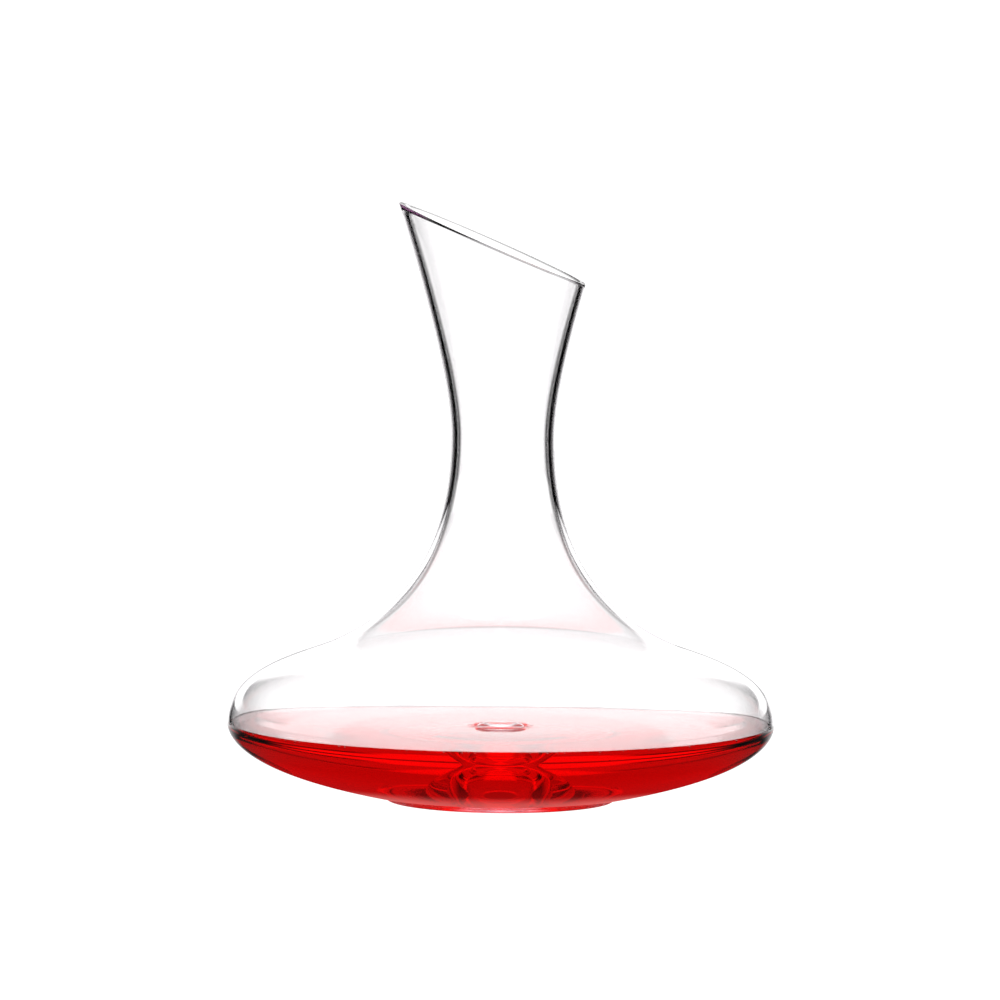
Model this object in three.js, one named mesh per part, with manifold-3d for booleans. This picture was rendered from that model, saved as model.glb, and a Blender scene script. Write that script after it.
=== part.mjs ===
// A wine decanter: one blown-glass vessel with a slanted mouth and a punt in its base, and its fill of wine.
// Units are millimetres and +Z is up. The decanter stands on z = 0 and its axis is the Z axis.

import * as THREE from 'three';
import { mergeVertices } from 'three/addons/utils/BufferGeometryUtils.js';
import Module from 'manifold-3d';

// The outer shape of the vessel. Angles are in degrees.
const bowlRadius = 113;
const bowlHeight = 32.9; // height of the widest point
const shoulderRadius = 70;
const shoulderHeight = 65.1;
const shoulderSlope = 23.7; // below the horizontal
const waistRadius = 21.3;
const waistHeight = 149.9;
const flareRadius = 45.2; // of the blown flare before its mouth is cut
const flareHeight = 252.1;
const flareSlope = 15.2; // outward from the vertical
const lipHeight = 246.8; // the highest point of the cut mouth, on the -X side
const lipSlope = 23.3; // the mouth's fall towards +X

// The base.
const footRadius = 47.7;
const footCorner = 1.5; // height of the rounded corner round the foot
const footSlope = 11.2; // the bowl's rise from the foot
const ringWidth = 2.6; // flat ring that the decanter stands on
const hollowHeight = 1.2; // the underside between the ring and the recess
const recessRadius = 31;
const recessHeight = 31.8;

// The glass inside.
const footWall = 3;
const bowlWall = 2;
const neckWall = 2.5;
const floorHeight = 3.5;
const puntRadius = 37; // where the punt starts to rise from the floor
const puntHeight = 34.8;

// The wine.
const wineHeight = 32.15;
const wineGap = 0.3; // left between the wine and the glass

// Fineness of the surfaces.
const turns = 48;
const bodySteps = [6, 8, 9, 8]; // up the underside of the bowl, its side, the shoulder and the neck

const at = (r, z) => new THREE.Vector2(r, z);
const bend = (start, a, b, end) => new THREE.CubicBezierCurve(start, a, b, end);

// The point at a distance and an angle from another, with the angle counted up from the outward direction.
function beside(point, angle, distance) {
  const turn = THREE.MathUtils.degToRad(angle);
  return at(point.x + distance * Math.cos(turn), point.y + distance * Math.sin(turn));
}

// Points along a chain of curves, each join once.
function trace(curves, steps) {
  return curves.flatMap((curve, i) => curve.getPoints(steps[i]).slice(i === 0 ? 0 : 1));
}

// Moves an outline sideways, to its left, by a distance that may depend on the height.
function offset(points, distance) {
  return points.map((point, i) => {
    const before = points[Math.max(i - 1, 0)];
    const after = points[Math.min(i + 1, points.length - 1)];
    const along = after.clone().sub(before).normalize();
    return point.clone().addScaledVector(at(-along.y, along.x), distance(point.y));
  });
}

// The part of an outline that lies below a height, with new end points at that height.
function below(points, height) {
  return points.flatMap((point, i) => {
    const last = points[i - 1];
    const kept = point.y < height ? [point] : [];
    if (!last || (last.y < height) === (point.y < height)) return kept;
    return [last.clone().lerp(point, (height - last.y) / (point.y - last.y)), ...kept];
  });
}

// The outside of the vessel from the foot's corner up to the end of the flare.
function outsideOfVessel() {
  const foot = at(footRadius, footCorner);
  const widest = at(bowlRadius, bowlHeight);
  const shoulder = at(shoulderRadius, shoulderHeight);
  const waist = at(waistRadius, waistHeight);
  const flare = at(flareRadius, flareHeight);
  const curves = [
    bend(foot, beside(foot, footSlope, 31.5), beside(widest, -90, 16), widest),
    bend(widest, beside(widest, 90, 21), beside(shoulder, -shoulderSlope, 14), shoulder),
    bend(shoulder, beside(shoulder, 180 - shoulderSlope, 37), beside(waist, -90, 40), waist),
    bend(waist, beside(waist, 90, 29), beside(flare, -90 - flareSlope, 21), flare),
  ];
  return trace(curves, bodySteps);
}

// The wall is thickest at the foot, thin round the bowl and a little thicker up the neck.
function wallAt(height) {
  const foot = (footWall - bowlWall) * (1 - THREE.MathUtils.smoothstep(height, 0, bowlHeight));
  const neck = (neckWall - bowlWall) * THREE.MathUtils.smoothstep(height, shoulderHeight, waistHeight);
  return bowlWall + foot + neck;
}

// The inside of the vessel from the punt's tip on the axis, down and across the floor and up to the flare.
function insideOfVessel() {
  const wall = offset(outsideOfVessel(), wallAt);
  const tip = at(0, puntHeight);
  const shoulder = at(11.6, 32.5);
  const flank = at(19, 22);
  const floor = at(puntRadius, floorHeight);
  const punt = trace([
    bend(tip, at(7.5, puntHeight), at(10.8, 34.6), shoulder),
    bend(shoulder, at(12.4, 30.4), at(15.5, 26.5), flank),
    bend(flank, at(23.5, 16.2), at(28.5, floorHeight), floor),
  ], [6, 4, 6]);
  const edge = bend(floor, at(puntRadius + 4, floorHeight), beside(wall[0], 180 + footSlope, 3), wall[0]);
  return [...punt, ...edge.getPoints(3).slice(1), ...wall.slice(1)];
}

// The underside from the top of its recess on the axis, out over the ring and round the foot's corner.
function undersideOfVessel() {
  const top = at(0, recessHeight);
  const flank = at(13.2, 22);
  const hollow = at(recessRadius, hollowHeight);
  const ring = at(footRadius - footCorner - ringWidth, 0);
  const standing = at(footRadius - footCorner, 0);
  const corner = at(footRadius, footCorner);
  const recess = trace([
    bend(top, at(6.5, recessHeight), at(10, 29.5), flank),
    bend(flank, at(16, 15.6), at(14.5, hollowHeight), hollow),
    bend(hollow, at(36, hollowHeight), at(ring.x - 4, 0), ring),
  ], [8, 6, 3]);
  const round = bend(standing, at(footRadius - 0.7, 0), at(footRadius - 0.2, footCorner - 0.6), corner);
  return [...recess, ...round.getPoints(3)];
}

// Turns an outline round the Z axis. The outline ends on the axis or closes on itself.
function turned(points) {
  return new THREE.LatheGeometry(points, turns).rotateX(Math.PI / 2);
}

const wasm = await Module();
wasm.setup();

// A closed geometry as a manifold-3d solid, its shared vertices merged and its empty triangles left out.
function solidOf(geometry) {
  const bare = geometry.clone();
  bare.deleteAttribute('normal');
  bare.deleteAttribute('uv');
  const merged = mergeVertices(bare);
  const triangles = [];
  for (let i = 0; i < merged.index.count; i += 3) {
    const corners = [0, 1, 2].map((k) => merged.index.getX(i + k));
    if (new Set(corners).size === 3) triangles.push(...corners);
  }
  return new wasm.Manifold(new wasm.Mesh({
    numProp: 3,
    vertProperties: merged.attributes.position.array,
    triVerts: new Uint32Array(triangles),
  }));
}

function geometryOf(solid) {
  const mesh = solid.getMesh();
  const geometry = new THREE.BufferGeometry();
  geometry.setAttribute('position', new THREE.BufferAttribute(mesh.vertProperties, 3));
  geometry.setIndex(new THREE.BufferAttribute(mesh.triVerts, 1));
  geometry.computeVertexNormals();
  return geometry;
}

// The block that is cut off the flare, with its slanted underside through the lip's highest point.
function aboveMouth() {
  const lip = below(outsideOfVessel(), lipHeight).at(-1);
  const size = 4 * flareRadius;
  return new THREE.BoxGeometry(size, size, size)
    .translate(size / 4, 0, size / 2)
    .rotateY(THREE.MathUtils.degToRad(lipSlope))
    .translate(-lip.x, 0, lip.y);
}

function makeGlass() {
  const outline = [...undersideOfVessel(), ...outsideOfVessel().slice(1), ...insideOfVessel().reverse()];
  const blown = solidOf(turned(outline));
  const cut = blown.subtract(solidOf(aboveMouth()));
  const material = new THREE.MeshStandardMaterial({
    color: 0xf3f5f6, roughness: 0.05, metalness: 0, transparent: true, opacity: 0.3,
  });
  const mesh = new THREE.Mesh(geometryOf(cut), material);
  mesh.name = 'glass_vessel';
  return mesh;
}

function makeWine() {
  const skin = below(offset(insideOfVessel(), () => wineGap), wineHeight);
  const material = new THREE.MeshStandardMaterial({ color: 0xb4060e, roughness: 0.1, metalness: 0 });
  const mesh = new THREE.Mesh(turned([...skin, skin[0]]), material);
  mesh.name = 'wine_fill';
  return mesh;
}

const decanter = new THREE.Group();
decanter.add(makeGlass(), makeWine());

export default decanter;
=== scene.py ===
"""A blown-glass wine decanter with its fill of red wine, on a plain white light table.

Lengths are in metres. The outline repeats the CAD model's driving dimensions.
"""

import math
import random

import bmesh
import bpy
from mathutils import Matrix, Vector, noise


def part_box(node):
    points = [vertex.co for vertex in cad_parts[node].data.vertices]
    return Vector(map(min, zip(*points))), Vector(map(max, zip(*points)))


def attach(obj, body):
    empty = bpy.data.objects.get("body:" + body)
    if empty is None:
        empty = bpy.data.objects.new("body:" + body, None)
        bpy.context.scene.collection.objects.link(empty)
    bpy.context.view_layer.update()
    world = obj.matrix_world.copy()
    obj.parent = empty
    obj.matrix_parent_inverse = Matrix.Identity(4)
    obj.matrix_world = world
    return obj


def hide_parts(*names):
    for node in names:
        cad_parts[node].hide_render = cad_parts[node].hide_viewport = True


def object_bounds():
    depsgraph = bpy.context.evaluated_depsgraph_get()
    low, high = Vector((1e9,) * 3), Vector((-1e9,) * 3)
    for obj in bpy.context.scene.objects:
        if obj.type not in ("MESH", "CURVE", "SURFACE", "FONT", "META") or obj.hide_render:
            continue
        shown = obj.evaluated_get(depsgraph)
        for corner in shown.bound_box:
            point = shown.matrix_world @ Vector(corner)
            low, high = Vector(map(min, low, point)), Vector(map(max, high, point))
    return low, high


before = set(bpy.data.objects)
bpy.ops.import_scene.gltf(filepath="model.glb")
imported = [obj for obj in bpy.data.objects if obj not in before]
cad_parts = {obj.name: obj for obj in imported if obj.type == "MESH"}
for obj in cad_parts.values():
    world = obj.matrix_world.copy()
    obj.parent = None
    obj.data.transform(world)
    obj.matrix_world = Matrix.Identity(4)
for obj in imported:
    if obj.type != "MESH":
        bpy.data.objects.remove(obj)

CAD_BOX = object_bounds()
MM = 0.001

# The outer shape of the vessel. Angles are in radians.
BOWL_RADIUS = CAD_BOX[1].x
BOWL_HEIGHT = 32.9 * MM
SHOULDER_RADIUS = 70 * MM
SHOULDER_HEIGHT = 65.1 * MM
SHOULDER_SLOPE = math.radians(23.7)
WAIST_RADIUS = 21.3 * MM
WAIST_HEIGHT = 149.9 * MM
FLARE_RADIUS = 45.2 * MM
FLARE_HEIGHT = 252.1 * MM
FLARE_SLOPE = math.radians(15.2)
LIP_HEIGHT = CAD_BOX[1].z
LIP_RADIUS = 43.6 * MM
LIP_SLOPE = math.radians(23.3)
RIM_ROUND = 0.8 * MM

# The base.
FOOT_RADIUS = 47.7 * MM
FOOT_CORNER = 1.5 * MM
FOOT_SLOPE = math.radians(11.2)
RING_WIDTH = 2.6 * MM
HOLLOW_HEIGHT = 1.2 * MM
RECESS_RADIUS = 31 * MM
RECESS_HEIGHT = 31.8 * MM

# The glass inside.
FOOT_WALL = 3 * MM
BOWL_WALL = 2 * MM
NECK_WALL = 2.5 * MM
UNEVEN_WALL = 0.08 * MM
UNEVEN_LENGTH = 38 * MM
UNEVEN_ROUND = 1.3
FLOOR_HEIGHT = 3.5 * MM
PUNT_RADIUS = 37 * MM
PUNT_HEIGHT = 34.8 * MM

# The wine.
WINE_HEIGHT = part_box("wine_fill")[1].z
WINE_GAP = 0.01 * MM
MENISCUS_HEIGHT = 0.35 * MM
MENISCUS_WIDTH = 0.7 * MM
PUNT_MENISCUS_HEIGHT = 0.9 * MM
PUNT_MENISCUS_WIDTH = 1.5 * MM
BUBBLE_SIZE = 0.22 * MM, 0.5 * MM
BUBBLE_RING = BOWL_RADIUS - BOWL_WALL - 0.9 * MM
BUBBLE_SCATTER = 0.4
BUBBLE_DEPTH = 0.05 * MM
BUBBLE_TURNS = 0.02, 0.05, 0.14, 0.3

# Optics.
GLASS_IOR = 1.5
GLASS_TINT = (0.56, 0.0, 0.47)
GLASS_DENSITY = 4.5
WAVE_SCALE = 22.0
WAVE_DEPTH = 0.12 * MM
SCUFF_HEIGHT = 0.05 * MM, 0.35 * MM
SCUFF_SCALE = 900.0
SCUFF_ROUGHNESS = 0.1, 0.4
WINE_IOR = 1.34
WINE_TINT = (0.9895, 0.0, 0.02)
WINE_DENSITY = 170.0
SWELL_SCALE = 30.0
SWELL_DEPTH = 0.01 * MM

# The camera. Its lens is in millimetres and its roll in radians.
LENS = 270.3
SENSOR = 36
CAMERA_PLACE = -0.001, -3.0818, 0.3728
CAMERA_TARGET = -0.001, 0, 0.12417
CAMERA_ROLL = math.radians(0.45)

# The studio's light. Angles are in degrees: windows by their turn off their middle, bands by their elevation.
WHITE = 1.18
LOW_WHITE = 1.3
BACK_WHITE = 1.58
TOP_WHITE = 0.95
STEEP_SHARE = 0.45
HORIZON = 0.4
HORIZON_FALL = -0.5, 1
HORIZON_RISE = 1, 4
STRAIGHT_WINDOW = 12, 20
RAISED_WINDOW = 24, 38
RAISED_START = 1.5, 4
RAISED_STOP = 9, 12
STEEP_BAND = -15, -8
DIAGONAL_WINDOW = 8, 15
DIAGONALS = (-45, -18, -22), (135, -8, -12)
FRONT_EDGE = 100, 112
FRONT_BAND = -13, -8
SIDE_TOP = 8, 30
FRONT_TOP = 20, 45

# The floor, and the shade that lies on it round the foot: a glowing disc of painted red light and painted
# shade, standing in for the light the wine throws on the table. Pairs are the radii between which one light
# turns into the next, apart from BACK_SHARE, which is the sine of the angle behind the side view.
FLOOR_RADIUS = 3.0
SHADE_RADIUS = 300 * MM
SHADE_EDGE = 240 * MM
BACK_SHARE = 0.35, 0.85
PUNT_TO_FOOT = 30 * MM, 42 * MM
FOOT_TO_WINE = 50 * MM, 68 * MM
WINE_TO_DARK = 95 * MM, 125 * MM
BACK_START = 80 * MM, 120 * MM
BACK_LIGHT = (0.75, 0.74, 0.75)
FOOT_LIGHT = (0.72, 0.16, 0.15)
WINE_LIGHT = (1.45, 0.018, 0.02)
FRONT_LIGHT = (0.42, 0.008, 0.009)
PUNT_LIGHT = (0.4, 0.012, 0.012)
SHADE_DARK = 0.03

# Fineness.
BOUNCES = 40
TURNS = 256
NECK_ROWS = 44
RIM_ROWS = 7
MENISCUS_ROWS = 26


def beside(point, angle, distance):
    """The point at a distance and an angle from another. The angle counts up from the outward direction."""
    return Vector((point.x + distance * math.cos(angle), point.y + distance * math.sin(angle)))


def bend(start, a, b, end, t):
    """A point on a cubic curve."""
    u = 1 - t
    return start * u**3 + a * (3 * u * u * t) + b * (3 * u * t * t) + end * t**3


def trace(corners, steps):
    """Points along a chain of cubic curves, each join once."""
    points = []
    for (start, a, b, end), count in zip(corners, steps):
        first = 1 if points else 0
        points += [bend(start, a, b, end, i / count) for i in range(first, count + 1)]
    return points


def across(points, i):
    """The direction to the left of an outline at one of its points."""
    along = points[min(i + 1, len(points) - 1)] - points[max(i - 1, 0)]
    along.normalize()
    return Vector((-along.y, along.x))


def smoothstep(value, low, high):
    t = min(max((value - low) / (high - low), 0), 1)
    return t * t * (3 - 2 * t)


def wall_at(height):
    """The wall is thickest at the foot, thin round the bowl and a little thicker up the neck."""
    foot = (FOOT_WALL - BOWL_WALL) * (1 - smoothstep(height, 0, BOWL_HEIGHT))
    neck = (NECK_WALL - BOWL_WALL) * smoothstep(height, SHOULDER_HEIGHT, WAIST_HEIGHT)
    return BOWL_WALL + foot + neck


def unevenness(turn, height):
    """How much thicker the hand-blown wall is at a place, in metres."""
    across_turn = UNEVEN_ROUND * math.cos(turn), UNEVEN_ROUND * math.sin(turn)
    place = Vector((*across_turn, height / UNEVEN_LENGTH))
    return UNEVEN_WALL * noise.noise(place)


def body_curves():
    """The outside of the vessel from the foot's corner up to the waist, and from there to the flare's end."""
    foot = Vector((FOOT_RADIUS, FOOT_CORNER))
    widest = Vector((BOWL_RADIUS, BOWL_HEIGHT))
    shoulder = Vector((SHOULDER_RADIUS, SHOULDER_HEIGHT))
    waist = Vector((WAIST_RADIUS, WAIST_HEIGHT))
    flare = Vector((FLARE_RADIUS, FLARE_HEIGHT))
    up, down = math.pi / 2, -math.pi / 2
    body = [
        (foot, beside(foot, FOOT_SLOPE, 31.5 * MM), beside(widest, down, 16 * MM), widest),
        (widest, beside(widest, up, 21 * MM), beside(shoulder, -SHOULDER_SLOPE, 14 * MM), shoulder),
        (shoulder, beside(shoulder, math.pi - SHOULDER_SLOPE, 37 * MM), beside(waist, down, 40 * MM), waist),
    ]
    neck = (waist, beside(waist, up, 29 * MM), beside(flare, down - FLARE_SLOPE, 21 * MM), flare)
    return body, neck


def punt_outline():
    """The top of the punt from its tip on the axis down to the inner floor."""
    tip = Vector((0, PUNT_HEIGHT))
    edge = Vector((11.6, 32.5)) * MM
    flank = Vector((19, 22)) * MM
    floor = Vector((PUNT_RADIUS, FLOOR_HEIGHT))
    return trace([
        (tip, Vector((7.5 * MM, PUNT_HEIGHT)), Vector((10.8, 34.6)) * MM, edge),
        (edge, Vector((12.4, 30.4)) * MM, Vector((15.5, 26.5)) * MM, flank),
        (flank, Vector((23.5, 16.2)) * MM, Vector((28.5 * MM, FLOOR_HEIGHT)), floor),
    ], [16, 8, 14])


def floor_edge(wall_foot):
    """The inner floor from the punt out to the lowest point of the wall."""
    floor = Vector((PUNT_RADIUS, FLOOR_HEIGHT))
    handle = beside(wall_foot, math.pi + FOOT_SLOPE, 3 * MM)
    return trace([(floor, floor + Vector((4 * MM, 0)), handle, wall_foot)], [6])[1:]


def underside_outline():
    """The underside from the top of its recess on the axis, out over the ring and round the foot's corner."""
    top = Vector((0, RECESS_HEIGHT))
    flank = Vector((13.2, 22)) * MM
    hollow = Vector((RECESS_RADIUS, HOLLOW_HEIGHT))
    ring = Vector((FOOT_RADIUS - FOOT_CORNER - RING_WIDTH, 0))
    standing = Vector((FOOT_RADIUS - FOOT_CORNER, 0))
    corner = Vector((FOOT_RADIUS, FOOT_CORNER))
    recess = trace([
        (top, Vector((6.5 * MM, RECESS_HEIGHT)), Vector((10, 29.5)) * MM, flank),
        (flank, Vector((16, 15.6)) * MM, Vector((14.5 * MM, HOLLOW_HEIGHT)), hollow),
        (hollow, Vector((36 * MM, HOLLOW_HEIGHT)), Vector((ring.x - 4 * MM, 0)), ring),
    ], [18, 14, 6])
    low = Vector((FOOT_RADIUS - 0.7 * MM, 0))
    high = Vector((FOOT_RADIUS - 0.2 * MM, FOOT_CORNER - 0.6 * MM))
    return recess + trace([(standing, low, high, corner)], [6])


def crossing(points, height):
    """An outline with a point added wherever it crosses a height."""
    result = [points[0]]
    for before, after in zip(points, points[1:]):
        if (before.y - height) * (after.y - height) < 0:
            result.append(before.lerp(after, (height - before.y) / (after.y - before.y)))
        result.append(after)
    return result


def mouth_height(radius, turn, lip_radius):
    """The height of the slanted cut above a point, given the radius of the flare at its highest point."""
    return LIP_HEIGHT - (radius * math.cos(turn) + lip_radius) * math.tan(LIP_SLOPE)


def cut_at(points, turn, lip_radius):
    """Where an outline meets the slanted cut, as a fractional index."""
    for i in range(1, len(points)):
        gap = points[i].y - mouth_height(points[i].x, turn, lip_radius)
        if gap >= 0:
            last = points[i - 1].y - mouth_height(points[i - 1].x, turn, lip_radius)
            return i - 1 - last / (gap - last)
    return len(points) - 1


def place_on(points, index):
    """The point at a fractional index of an outline."""
    low = min(int(index), len(points) - 2)
    return points[low].lerp(points[low + 1], index - low)


def turned(point, turn):
    """A point of an outline placed at a turn round the axis."""
    return Vector((point.x * math.cos(turn), point.x * math.sin(turn), point.y))


def ring_mesh(name, columns, closed):
    """A mesh through columns of points, one per turn. A column's ends lie on the axis unless it is closed."""
    count = len(columns[0])
    vertices, faces = [], []
    for column in columns:
        vertices += [tuple(p) for p in column]
    turns = len(columns)
    for j in range(turns):
        a, b = j * count, (j + 1) % turns * count
        for i in range(count if closed else count - 1):
            n = (i + 1) % count
            faces.append((a + i, b + i, b + n, a + n))
    mesh = bpy.data.meshes.new(name)
    mesh.from_pydata(vertices, [], faces)
    piece = bpy.data.objects.new(name, mesh)
    bpy.context.scene.collection.objects.link(piece)
    return piece


def tidy_mesh(piece):
    """Merges the points on the axis, turns the faces outward and shades them smooth."""
    work = bmesh.new()
    work.from_mesh(piece.data)
    bmesh.ops.remove_doubles(work, verts=work.verts, dist=1e-7)
    bmesh.ops.recalc_face_normals(work, faces=work.faces)
    for face in work.faces:
        face.smooth = True
    work.to_mesh(piece.data)
    work.free()


def mark_faces(piece, name, test):
    """A face attribute that is 1 on the faces whose centre and normal pass a test."""
    layer = piece.data.attributes.new(name, "FLOAT", "FACE")
    for face in piece.data.polygons:
        layer.data[face.index].value = 1.0 if test(face) else 0.0


def contact_height(radius):
    """How high the wine stands on the glass, on the punt or on the wall."""
    return WINE_HEIGHT + (PUNT_MENISCUS_HEIGHT if radius < PUNT_RADIUS else MENISCUS_HEIGHT)


def outside_outlines():
    body, neck = body_curves()
    return trace(body, [30, 30, 34]), trace([neck], [160])


def inside_of(outside):
    return [p + across(outside, i) * wall_at(p.y) for i, p in enumerate(outside)]


def lower_inside(inside):
    """The inside of the bowl from the punt's tip out over the floor and up to the waist."""
    punt = crossing(punt_outline(), contact_height(0))
    return punt + floor_edge(inside[0]) + crossing(inside[1:], contact_height(BOWL_RADIUS))


def uneven(points, turn):
    """An inner outline moved by the wall's unevenness, which dies out near the axis."""
    moved = []
    for p in points:
        share = smoothstep(p.x, 0, PUNT_RADIUS)
        moved.append(p - Vector((unevenness(turn, p.y) * share, 0)))
    return moved


def make_vessel():
    below_waist, above_waist = outside_outlines()
    outside = below_waist + above_waist[1:]
    waist = len(below_waist) - 1
    inside = inside_of(outside)
    lip_radius = place_on(outside, cut_at(outside, math.pi, LIP_RADIUS)).x
    bowl = lower_inside(inside[:waist + 1])
    under = underside_outline()
    step = RIM_ROUND / (outside[-1] - outside[-2]).length
    columns = []
    for j in range(TURNS):
        turn = 2 * math.pi * j / TURNS
        out_end = cut_at(outside, turn, lip_radius)
        in_end = cut_at(inside, turn, lip_radius)
        up, down = out_end - step - waist, waist - (in_end - step)
        rise = [place_on(outside, waist + up * k / NECK_ROWS) for k in range(1, NECK_ROWS + 1)]
        fall = [place_on(inside, in_end - step + down * k / NECK_ROWS) for k in range(NECK_ROWS)]
        out_edge = place_on(outside, out_end)
        in_edge = place_on(inside, in_end)
        over = (in_edge - out_edge).normalized() * RIM_ROUND
        rim = []
        for k in range(1, RIM_ROWS + 1):
            t = k / RIM_ROWS
            rim.append(rise[-1].lerp(out_edge, t).lerp(out_edge.lerp(out_edge + over, t), t))
        for k in range(RIM_ROWS):
            t = k / RIM_ROWS
            rim.append((in_edge - over).lerp(in_edge, t).lerp(in_edge.lerp(fall[0], t), t))
        inner = uneven(fall + bowl[::-1], turn)
        shift = inner[0] - fall[0]
        rim[RIM_ROWS:] = [p + shift for p in rim[RIM_ROWS:]]
        column = under + outside[1:waist + 1] + rise + rim + inner
        columns.append([turned(p, turn) for p in column])
    piece = ring_mesh("blown_glass", columns, closed=False)
    tidy_mesh(piece)
    mark_faces(piece, "wetted", is_wetted)
    return piece


def is_wetted(face):
    """True for a face of the vessel below the wine's surface that looks into the bowl."""
    radius = math.hypot(face.center.x, face.center.y)
    if face.center.z > contact_height(radius):
        return False
    if face.normal.z > 0.2:
        return face.center.z > HOLLOW_HEIGHT
    inward = face.normal.x * face.center.x + face.normal.y * face.center.y
    return inward < 0 and radius > RECESS_RADIUS and face.center.z > FLOOR_HEIGHT


def wine_outline(turn, bowl):
    """The wine's outline at a turn: the wetted glass, then the surface with its rise at wall and punt."""
    glass = uneven(bowl, turn)
    skin = [p + across(glass, i) * WINE_GAP for i, p in enumerate(glass)]
    covered = [i for i, p in enumerate(glass) if p.y <= contact_height(p.x) + 1e-9]
    wetted = skin[covered[0]:covered[-1] + 1]
    from_wall = meniscus(MENISCUS_HEIGHT, MENISCUS_WIDTH)
    from_punt = meniscus(PUNT_MENISCUS_HEIGHT, PUNT_MENISCUS_WIDTH)
    surface = [Vector((wetted[-1].x - away, WINE_HEIGHT + rise)) for away, rise in from_wall]
    surface += [Vector((wetted[0].x + away, WINE_HEIGHT + rise)) for away, rise in from_punt[::-1]]
    return wetted + surface, len(wetted)


def meniscus(height, width):
    """The wine's rise at distances from the glass that it clings to."""
    reach = 8 * width
    distances = [reach * (k / MENISCUS_ROWS) ** 1.8 for k in range(1, MENISCUS_ROWS)]
    return [(away, height * math.exp(-away / width)) for away in distances]


def make_wine():
    below_waist, _ = outside_outlines()
    bowl = lower_inside(inside_of(below_waist))
    columns = []
    for j in range(TURNS):
        turn = 2 * math.pi * j / TURNS
        outline, wetted = wine_outline(turn, bowl)
        columns.append([turned(p, turn) for p in outline])
    piece = ring_mesh("red_wine_fill", columns, closed=True)
    layer = piece.data.attributes.new("at_glass", "FLOAT", "FACE")
    count = len(columns[0])
    for face in piece.data.polygons:
        layer.data[face.index].value = 1.0 if face.index % count < wetted - 1 else 0.0
    tidy_mesh(piece)
    add_bubbles(piece)
    return piece


def add_bubbles(piece):
    """Small bubbles of air under the surface, in a loose chain along the wall. Their faces look inward."""
    chance = random.Random(7)
    work = bmesh.new()
    work.from_mesh(piece.data)
    layer = work.faces.layers.float["at_glass"]
    turn = 0.0
    while turn < 2 * math.pi:
        size = chance.uniform(*BUBBLE_SIZE)
        radius = BUBBLE_RING - size - chance.uniform(0, BUBBLE_SCATTER) * MM
        place = Vector((radius, WINE_HEIGHT - size - BUBBLE_DEPTH))
        where = Matrix.Translation(turned(place, turn))
        ball = bmesh.ops.create_icosphere(work, subdivisions=2, radius=size, matrix=where)
        for face in {face for vertex in ball["verts"] for face in vertex.link_faces}:
            face.normal_flip()
            face.smooth = True
            face[layer] = 0.0
        turn += chance.choice(BUBBLE_TURNS) * chance.uniform(0.6, 1.4)
    work.to_mesh(piece.data)
    work.free()


def shader_nodes(name):
    """A new material with nothing but an output."""
    material = bpy.data.materials.new(name)
    material.use_nodes = True
    nodes = material.node_tree.nodes
    nodes.clear()
    return material, nodes, material.node_tree.links, nodes.new("ShaderNodeOutputMaterial")


def clear_shader(nodes, color, ior, roughness=0.0):
    shader = nodes.new("ShaderNodeBsdfPrincipled")
    shader.inputs["Base Color"].default_value = (*color, 1)
    shader.inputs["Roughness"].default_value = roughness
    shader.inputs["IOR"].default_value = ior
    shader.inputs["Transmission Weight"].default_value = 1.0
    return shader


def mix_by_attribute(nodes, links, name, plain, marked):
    """The plain shader, and the marked one where a face attribute is 1."""
    attribute = nodes.new("ShaderNodeAttribute")
    attribute.attribute_name = name
    mix = nodes.new("ShaderNodeMixShader")
    links.new(attribute.outputs["Fac"], mix.inputs[0])
    links.new(plain.outputs[0], mix.inputs[1])
    links.new(marked.outputs[0], mix.inputs[2])
    return mix


def add_absorption(nodes, links, output, color, density):
    volume = nodes.new("ShaderNodeVolumeAbsorption")
    volume.inputs["Color"].default_value = (*color, 1)
    volume.inputs["Density"].default_value = density
    links.new(volume.outputs["Volume"], output.inputs["Volume"])


def object_noise(nodes, links, scale, detail):
    """Noise fixed to the piece."""
    place = nodes.new("ShaderNodeTexCoord")
    node = nodes.new("ShaderNodeTexNoise")
    node.inputs["Scale"].default_value = scale
    node.inputs["Detail"].default_value = detail
    links.new(place.outputs["Object"], node.inputs["Vector"])
    return node.outputs["Fac"]


def bump_node(nodes, links, height, strength, distance):
    node = nodes.new("ShaderNodeBump")
    node.inputs["Strength"].default_value = strength
    node.inputs["Distance"].default_value = distance
    links.new(height, node.inputs["Height"])
    return node.outputs["Normal"]


def glass_material():
    """Clear glass against air, and against wine where it is wetted: the step there is the ratio of the two.

    The skin waves slightly, as blown glass does, and the standing ring is scuffed by tables.
    """
    material, nodes, links, output = shader_nodes("clear_blown_glass")
    dry = clear_shader(nodes, (1, 1, 1), GLASS_IOR)
    wet = clear_shader(nodes, (1, 1, 1), GLASS_IOR / WINE_IOR)
    waves = object_noise(nodes, links, WAVE_SCALE, 1.0)
    skin = bump_node(nodes, links, waves, 1.0, WAVE_DEPTH)
    links.new(skin, dry.inputs["Normal"])
    place = nodes.new("ShaderNodeTexCoord")
    split = nodes.new("ShaderNodeSeparateXYZ")
    links.new(place.outputs["Object"], split.inputs[0])
    low = ramp_node(nodes, links, split.outputs["Z"], *SCUFF_HEIGHT, 1, 0)
    speckle = object_noise(nodes, links, SCUFF_SCALE, 4.0)
    grit = ramp_node(nodes, links, speckle, 0.35, 0.7, *SCUFF_ROUGHNESS)
    links.new(math_node(nodes, links, "MULTIPLY", low, grit), dry.inputs["Roughness"])
    mix = mix_by_attribute(nodes, links, "wetted", dry, wet)
    links.new(mix.outputs[0], output.inputs["Surface"])
    add_absorption(nodes, links, output, GLASS_TINT, GLASS_DENSITY)
    return material


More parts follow.
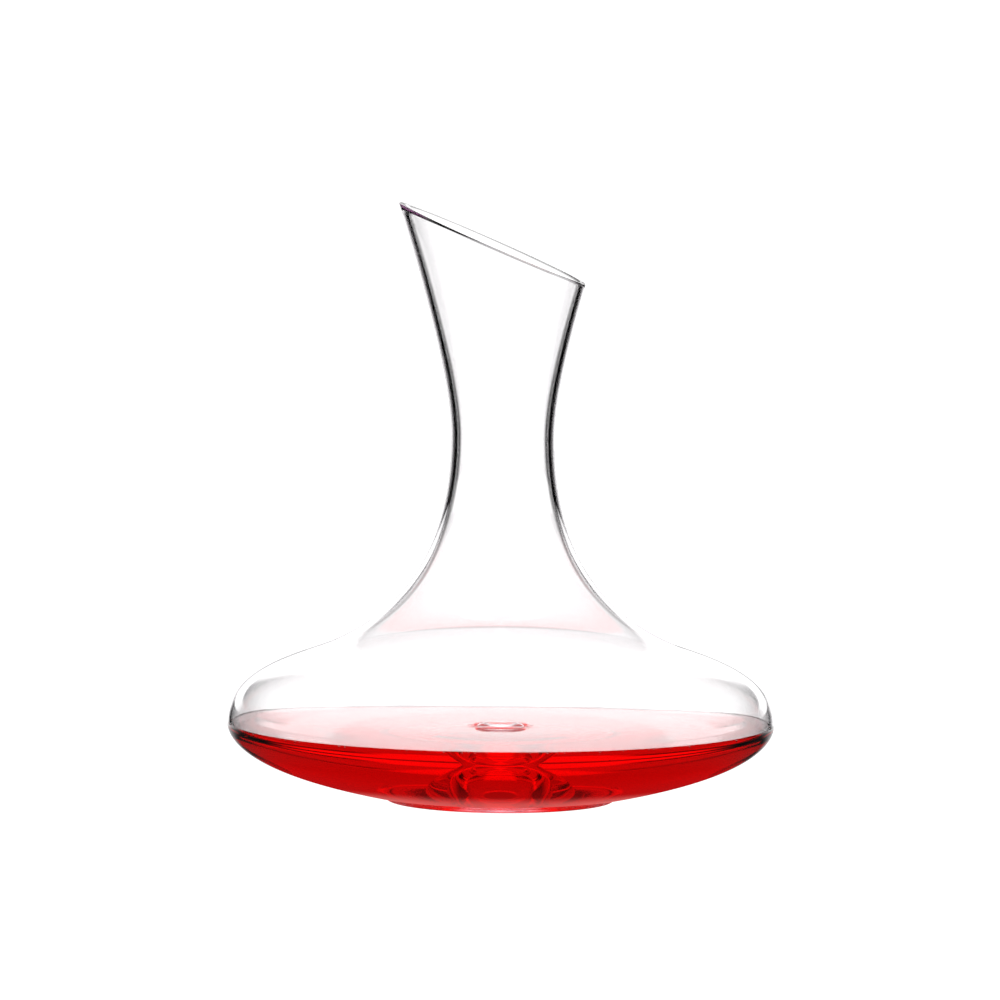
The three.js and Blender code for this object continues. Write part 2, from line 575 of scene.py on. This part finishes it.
def wine_material():
    """Red wine. It bends light at its free surface only. Elsewhere the glass's own wetted faces do it.

    The surface swells faintly, and finer ripples ride on the swell.
    """
    material, nodes, links, output = shader_nodes("red_wine")
    surface = clear_shader(nodes, (1, 1, 1), WINE_IOR)
    side = clear_shader(nodes, (1, 1, 1), 1.0)
    swell = object_noise(nodes, links, SWELL_SCALE, 2.0)
    links.new(bump_node(nodes, links, swell, 1.0, SWELL_DEPTH), surface.inputs["Normal"])
    mix = mix_by_attribute(nodes, links, "at_glass", surface, side)
    links.new(mix.outputs[0], output.inputs["Surface"])
    add_absorption(nodes, links, output, WINE_TINT, WINE_DENSITY)
    return material


def make_camera():
    data = bpy.data.cameras.new("camera")
    camera = bpy.data.objects.new("camera", data)
    bpy.context.scene.collection.objects.link(camera)
    data.lens = LENS
    data.sensor_width = SENSOR
    place = Vector(CAMERA_PLACE)
    aim = (Vector(CAMERA_TARGET) - place).to_track_quat("-Z", "Y").to_matrix().to_4x4()
    roll = Matrix.Rotation(CAMERA_ROLL, 4, "Z")
    camera.matrix_world = Matrix.Translation(place) @ aim @ roll
    data.clip_start = 0.1
    data.clip_end = 100
    bpy.context.scene.camera = camera


def emission_material(name, color, strength):
    material, nodes, links, output = shader_nodes(name)
    glow = nodes.new("ShaderNodeEmission")
    glow.inputs["Color"].default_value = (*color, 1)
    glow.inputs["Strength"].default_value = strength
    links.new(glow.outputs[0], output.inputs["Surface"])
    return material


def math_node(nodes, links, operation, *values):
    """A math node fed by sockets and numbers."""
    node = nodes.new("ShaderNodeMath")
    node.operation = operation
    for i, value in enumerate(values):
        if isinstance(value, (int, float)):
            node.inputs[i].default_value = value
        else:
            links.new(value, node.inputs[i])
    return node.outputs[0]


def ramp_node(nodes, links, value, low, high, start=0.0, end=1.0):
    """A smooth step from start to end as a value goes from low to high."""
    node = nodes.new("ShaderNodeMapRange")
    node.interpolation_type = "SMOOTHSTEP"
    names = "Value", "From Min", "From Max", "To Min", "To Max"
    for name, number in zip(names, (value, low, high, start, end)):
        if isinstance(number, (int, float)):
            node.inputs[name].default_value = number
        else:
            links.new(number, node.inputs[name])
    return node.outputs["Result"]


def make_world():
    """A room of white windows, one behind every straight view, with black flags between them.

    Two of the diagonals have a low window too. Above the flags the light is soft and even. Low down, the side
    where the camera stands is dark. A dim line runs along the horizon. The camera itself sees plain white.
    """
    world = bpy.data.worlds.new("studio")
    bpy.context.scene.world = world
    world.use_nodes = True
    nodes, links = world.node_tree.nodes, world.node_tree.links
    coords = nodes.new("ShaderNodeTexCoord")
    split = nodes.new("ShaderNodeSeparateXYZ")
    links.new(coords.outputs["Generated"], split.inputs[0])
    x, y, z = split.outputs

    def edge(value, band, start=0.0, end=1.0):
        return ramp_node(nodes, links, value, math.radians(band[0]), math.radians(band[1]), start, end)

    def angle_between(share, low, high):
        return ramp_node(nodes, links, share, 0, 1, math.radians(low), math.radians(high))

    def combine(operation, *values):
        return math_node(nodes, links, operation, *values)

    signed = combine("ARCTAN2", x, y)
    turn = combine("ABSOLUTE", signed)
    rise = combine("ARCSINE", z)
    off_straight = combine("PINGPONG", turn, math.radians(45))
    raised = combine("MULTIPLY", edge(rise, RAISED_START), edge(rise, RAISED_STOP, 1, 0))
    inner = angle_between(raised, STRAIGHT_WINDOW[0], RAISED_WINDOW[0])
    outer = angle_between(raised, STRAIGHT_WINDOW[1], RAISED_WINDOW[1])
    windows = ramp_node(nodes, links, off_straight, inner, outer, 1, 0)
    low = combine("MULTIPLY", windows, edge(rise, STEEP_BAND, STEEP_SHARE, 1))
    for middle, top_edge, bottom_edge in DIAGONALS:
        off = combine("ABSOLUTE", combine("SUBTRACT", signed, math.radians(middle)))
        height = edge(rise, (bottom_edge, top_edge), 1, 0)
        low = combine("MAXIMUM", low, combine("MULTIPLY", edge(off, DIAGONAL_WINDOW, 1, 0), height))
    front = edge(turn, FRONT_EDGE)
    dark_front = combine("MULTIPLY", front, edge(rise, FRONT_BAND))
    low = combine("MULTIPLY", low, combine("SUBTRACT", 1.0, dark_front))
    fall = edge(rise, HORIZON_FALL, LOW_WHITE, HORIZON)
    glow = combine("MAXIMUM", fall, edge(rise, HORIZON_RISE, 0, BACK_WHITE))
    low = combine("MULTIPLY", low, glow)
    top_edges = []
    for side, toward_front in zip(SIDE_TOP, FRONT_TOP):
        more = math.radians(toward_front - side)
        top_edges.append(combine("MULTIPLY_ADD", front, more, math.radians(side)))
    upper = combine("MULTIPLY", ramp_node(nodes, links, rise, *top_edges), TOP_WHITE)
    strength = combine("MAXIMUM", low, upper)
    graded = nodes["Background"]
    graded.inputs["Color"].default_value = (1, 1, 1, 1)
    links.new(strength, graded.inputs["Strength"])
    plain = nodes.new("ShaderNodeBackground")
    plain.inputs["Color"].default_value = (1, 1, 1, 1)
    plain.inputs["Strength"].default_value = WHITE
    seen = nodes.new("ShaderNodeLightPath")
    mix = nodes.new("ShaderNodeMixShader")
    links.new(seen.outputs["Is Camera Ray"], mix.inputs[0])
    links.new(graded.outputs[0], mix.inputs[1])
    links.new(plain.outputs[0], mix.inputs[2])
    links.new(mix.outputs[0], nodes["World Output"].inputs["Surface"])


def disc(name, radius, height):
    count = 96
    ring = []
    for k in range(count):
        turn = 2 * math.pi * k / count
        ring.append((radius * math.cos(turn), radius * math.sin(turn), height))
    mesh = bpy.data.meshes.new(name)
    mesh.from_pydata(ring, [], [tuple(range(count))])
    piece = bpy.data.objects.new(name, mesh)
    bpy.context.scene.collection.objects.link(piece)
    return piece


def color_mix(nodes, links, share, first, second):
    """A colour that goes from the first to the second as the share goes from 0 to 1."""
    node = nodes.new("ShaderNodeMix")
    node.data_type = "RGBA"
    links.new(share, node.inputs["Factor"])
    for name, color in (("A", first), ("B", second)):
        socket = next(i for i in node.inputs if i.name == name and i.type == "RGBA")
        if isinstance(color, tuple):
            socket.default_value = (*color, 1)
        else:
            links.new(color, socket)
    return next(o for o in node.outputs if o.type == "RGBA")


def shade_material():
    """A glowing disc round the foot in place of the lit table: painted red light under the wine, painted
    shade round the bowl, and painted white light again behind it.
    """
    material, nodes, links, output = shader_nodes("shade")
    place = nodes.new("ShaderNodeTexCoord")
    away = nodes.new("ShaderNodeVectorMath")
    away.operation = "LENGTH"
    links.new(place.outputs["Object"], away.inputs[0])
    radius = away.outputs["Value"]
    split = nodes.new("ShaderNodeSeparateXYZ")
    links.new(place.outputs["Object"], split.inputs[0])

    def blend(share, first, second):
        return color_mix(nodes, links, share, first, second)

    # Every colour below is painted light or painted shade that the disc gives off, not a colour of the table.
    sine = math_node(nodes, links, "DIVIDE", split.outputs["Y"], radius)
    back = ramp_node(nodes, links, sine, *BACK_SHARE)
    red = blend(back, FRONT_LIGHT, WINE_LIGHT)
    foot = blend(ramp_node(nodes, links, radius, *PUNT_TO_FOOT), PUNT_LIGHT, FOOT_LIGHT)
    wine = blend(ramp_node(nodes, links, radius, *FOOT_TO_WINE), foot, red)
    dark = (SHADE_DARK, SHADE_DARK, SHADE_DARK)
    ring = blend(ramp_node(nodes, links, radius, *WINE_TO_DARK), wine, dark)
    behind = math_node(nodes, links, "MULTIPLY", back, ramp_node(nodes, links, radius, *BACK_START))
    lit = blend(behind, ring, BACK_LIGHT)
    rim = ramp_node(nodes, links, radius, SHADE_EDGE, SHADE_RADIUS)
    far = math_node(nodes, links, "MULTIPLY", rim, behind)
    color = blend(far, lit, (WHITE, WHITE, WHITE))
    glow = nodes.new("ShaderNodeEmission")
    links.new(color, glow.inputs["Color"])
    links.new(glow.outputs[0], output.inputs["Surface"])
    return material


def make_floor():
    """A white floor for the camera, and under the decanter the shade that the glass and the wine see: a
    glowing disc of painted red light and painted shade.
    """
    floor = disc("floor", FLOOR_RADIUS, -0.4 * MM)
    floor.data.materials.append(emission_material("floor", (1, 1, 1), WHITE))
    floor.visible_glossy = False
    floor.visible_transmission = False
    shade = disc("shade", SHADE_RADIUS, -0.2 * MM)
    shade.data.materials.append(shade_material())
    shade.visible_camera = False


make_camera()
make_world()
make_floor()

vessel = make_vessel()
vessel.data.materials.append(glass_material())
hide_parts("glass_vessel")
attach(vessel, "root")

wine = make_wine()
wine.data.materials.append(wine_material())
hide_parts("wine_fill")
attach(wine, "root")

bpy.context.scene.view_settings.view_transform = "Standard"
light_paths = bpy.context.scene.cycles
light_paths.max_bounces = BOUNCES
light_paths.glossy_bounces = BOUNCES
light_paths.transmission_bounces = BOUNCES
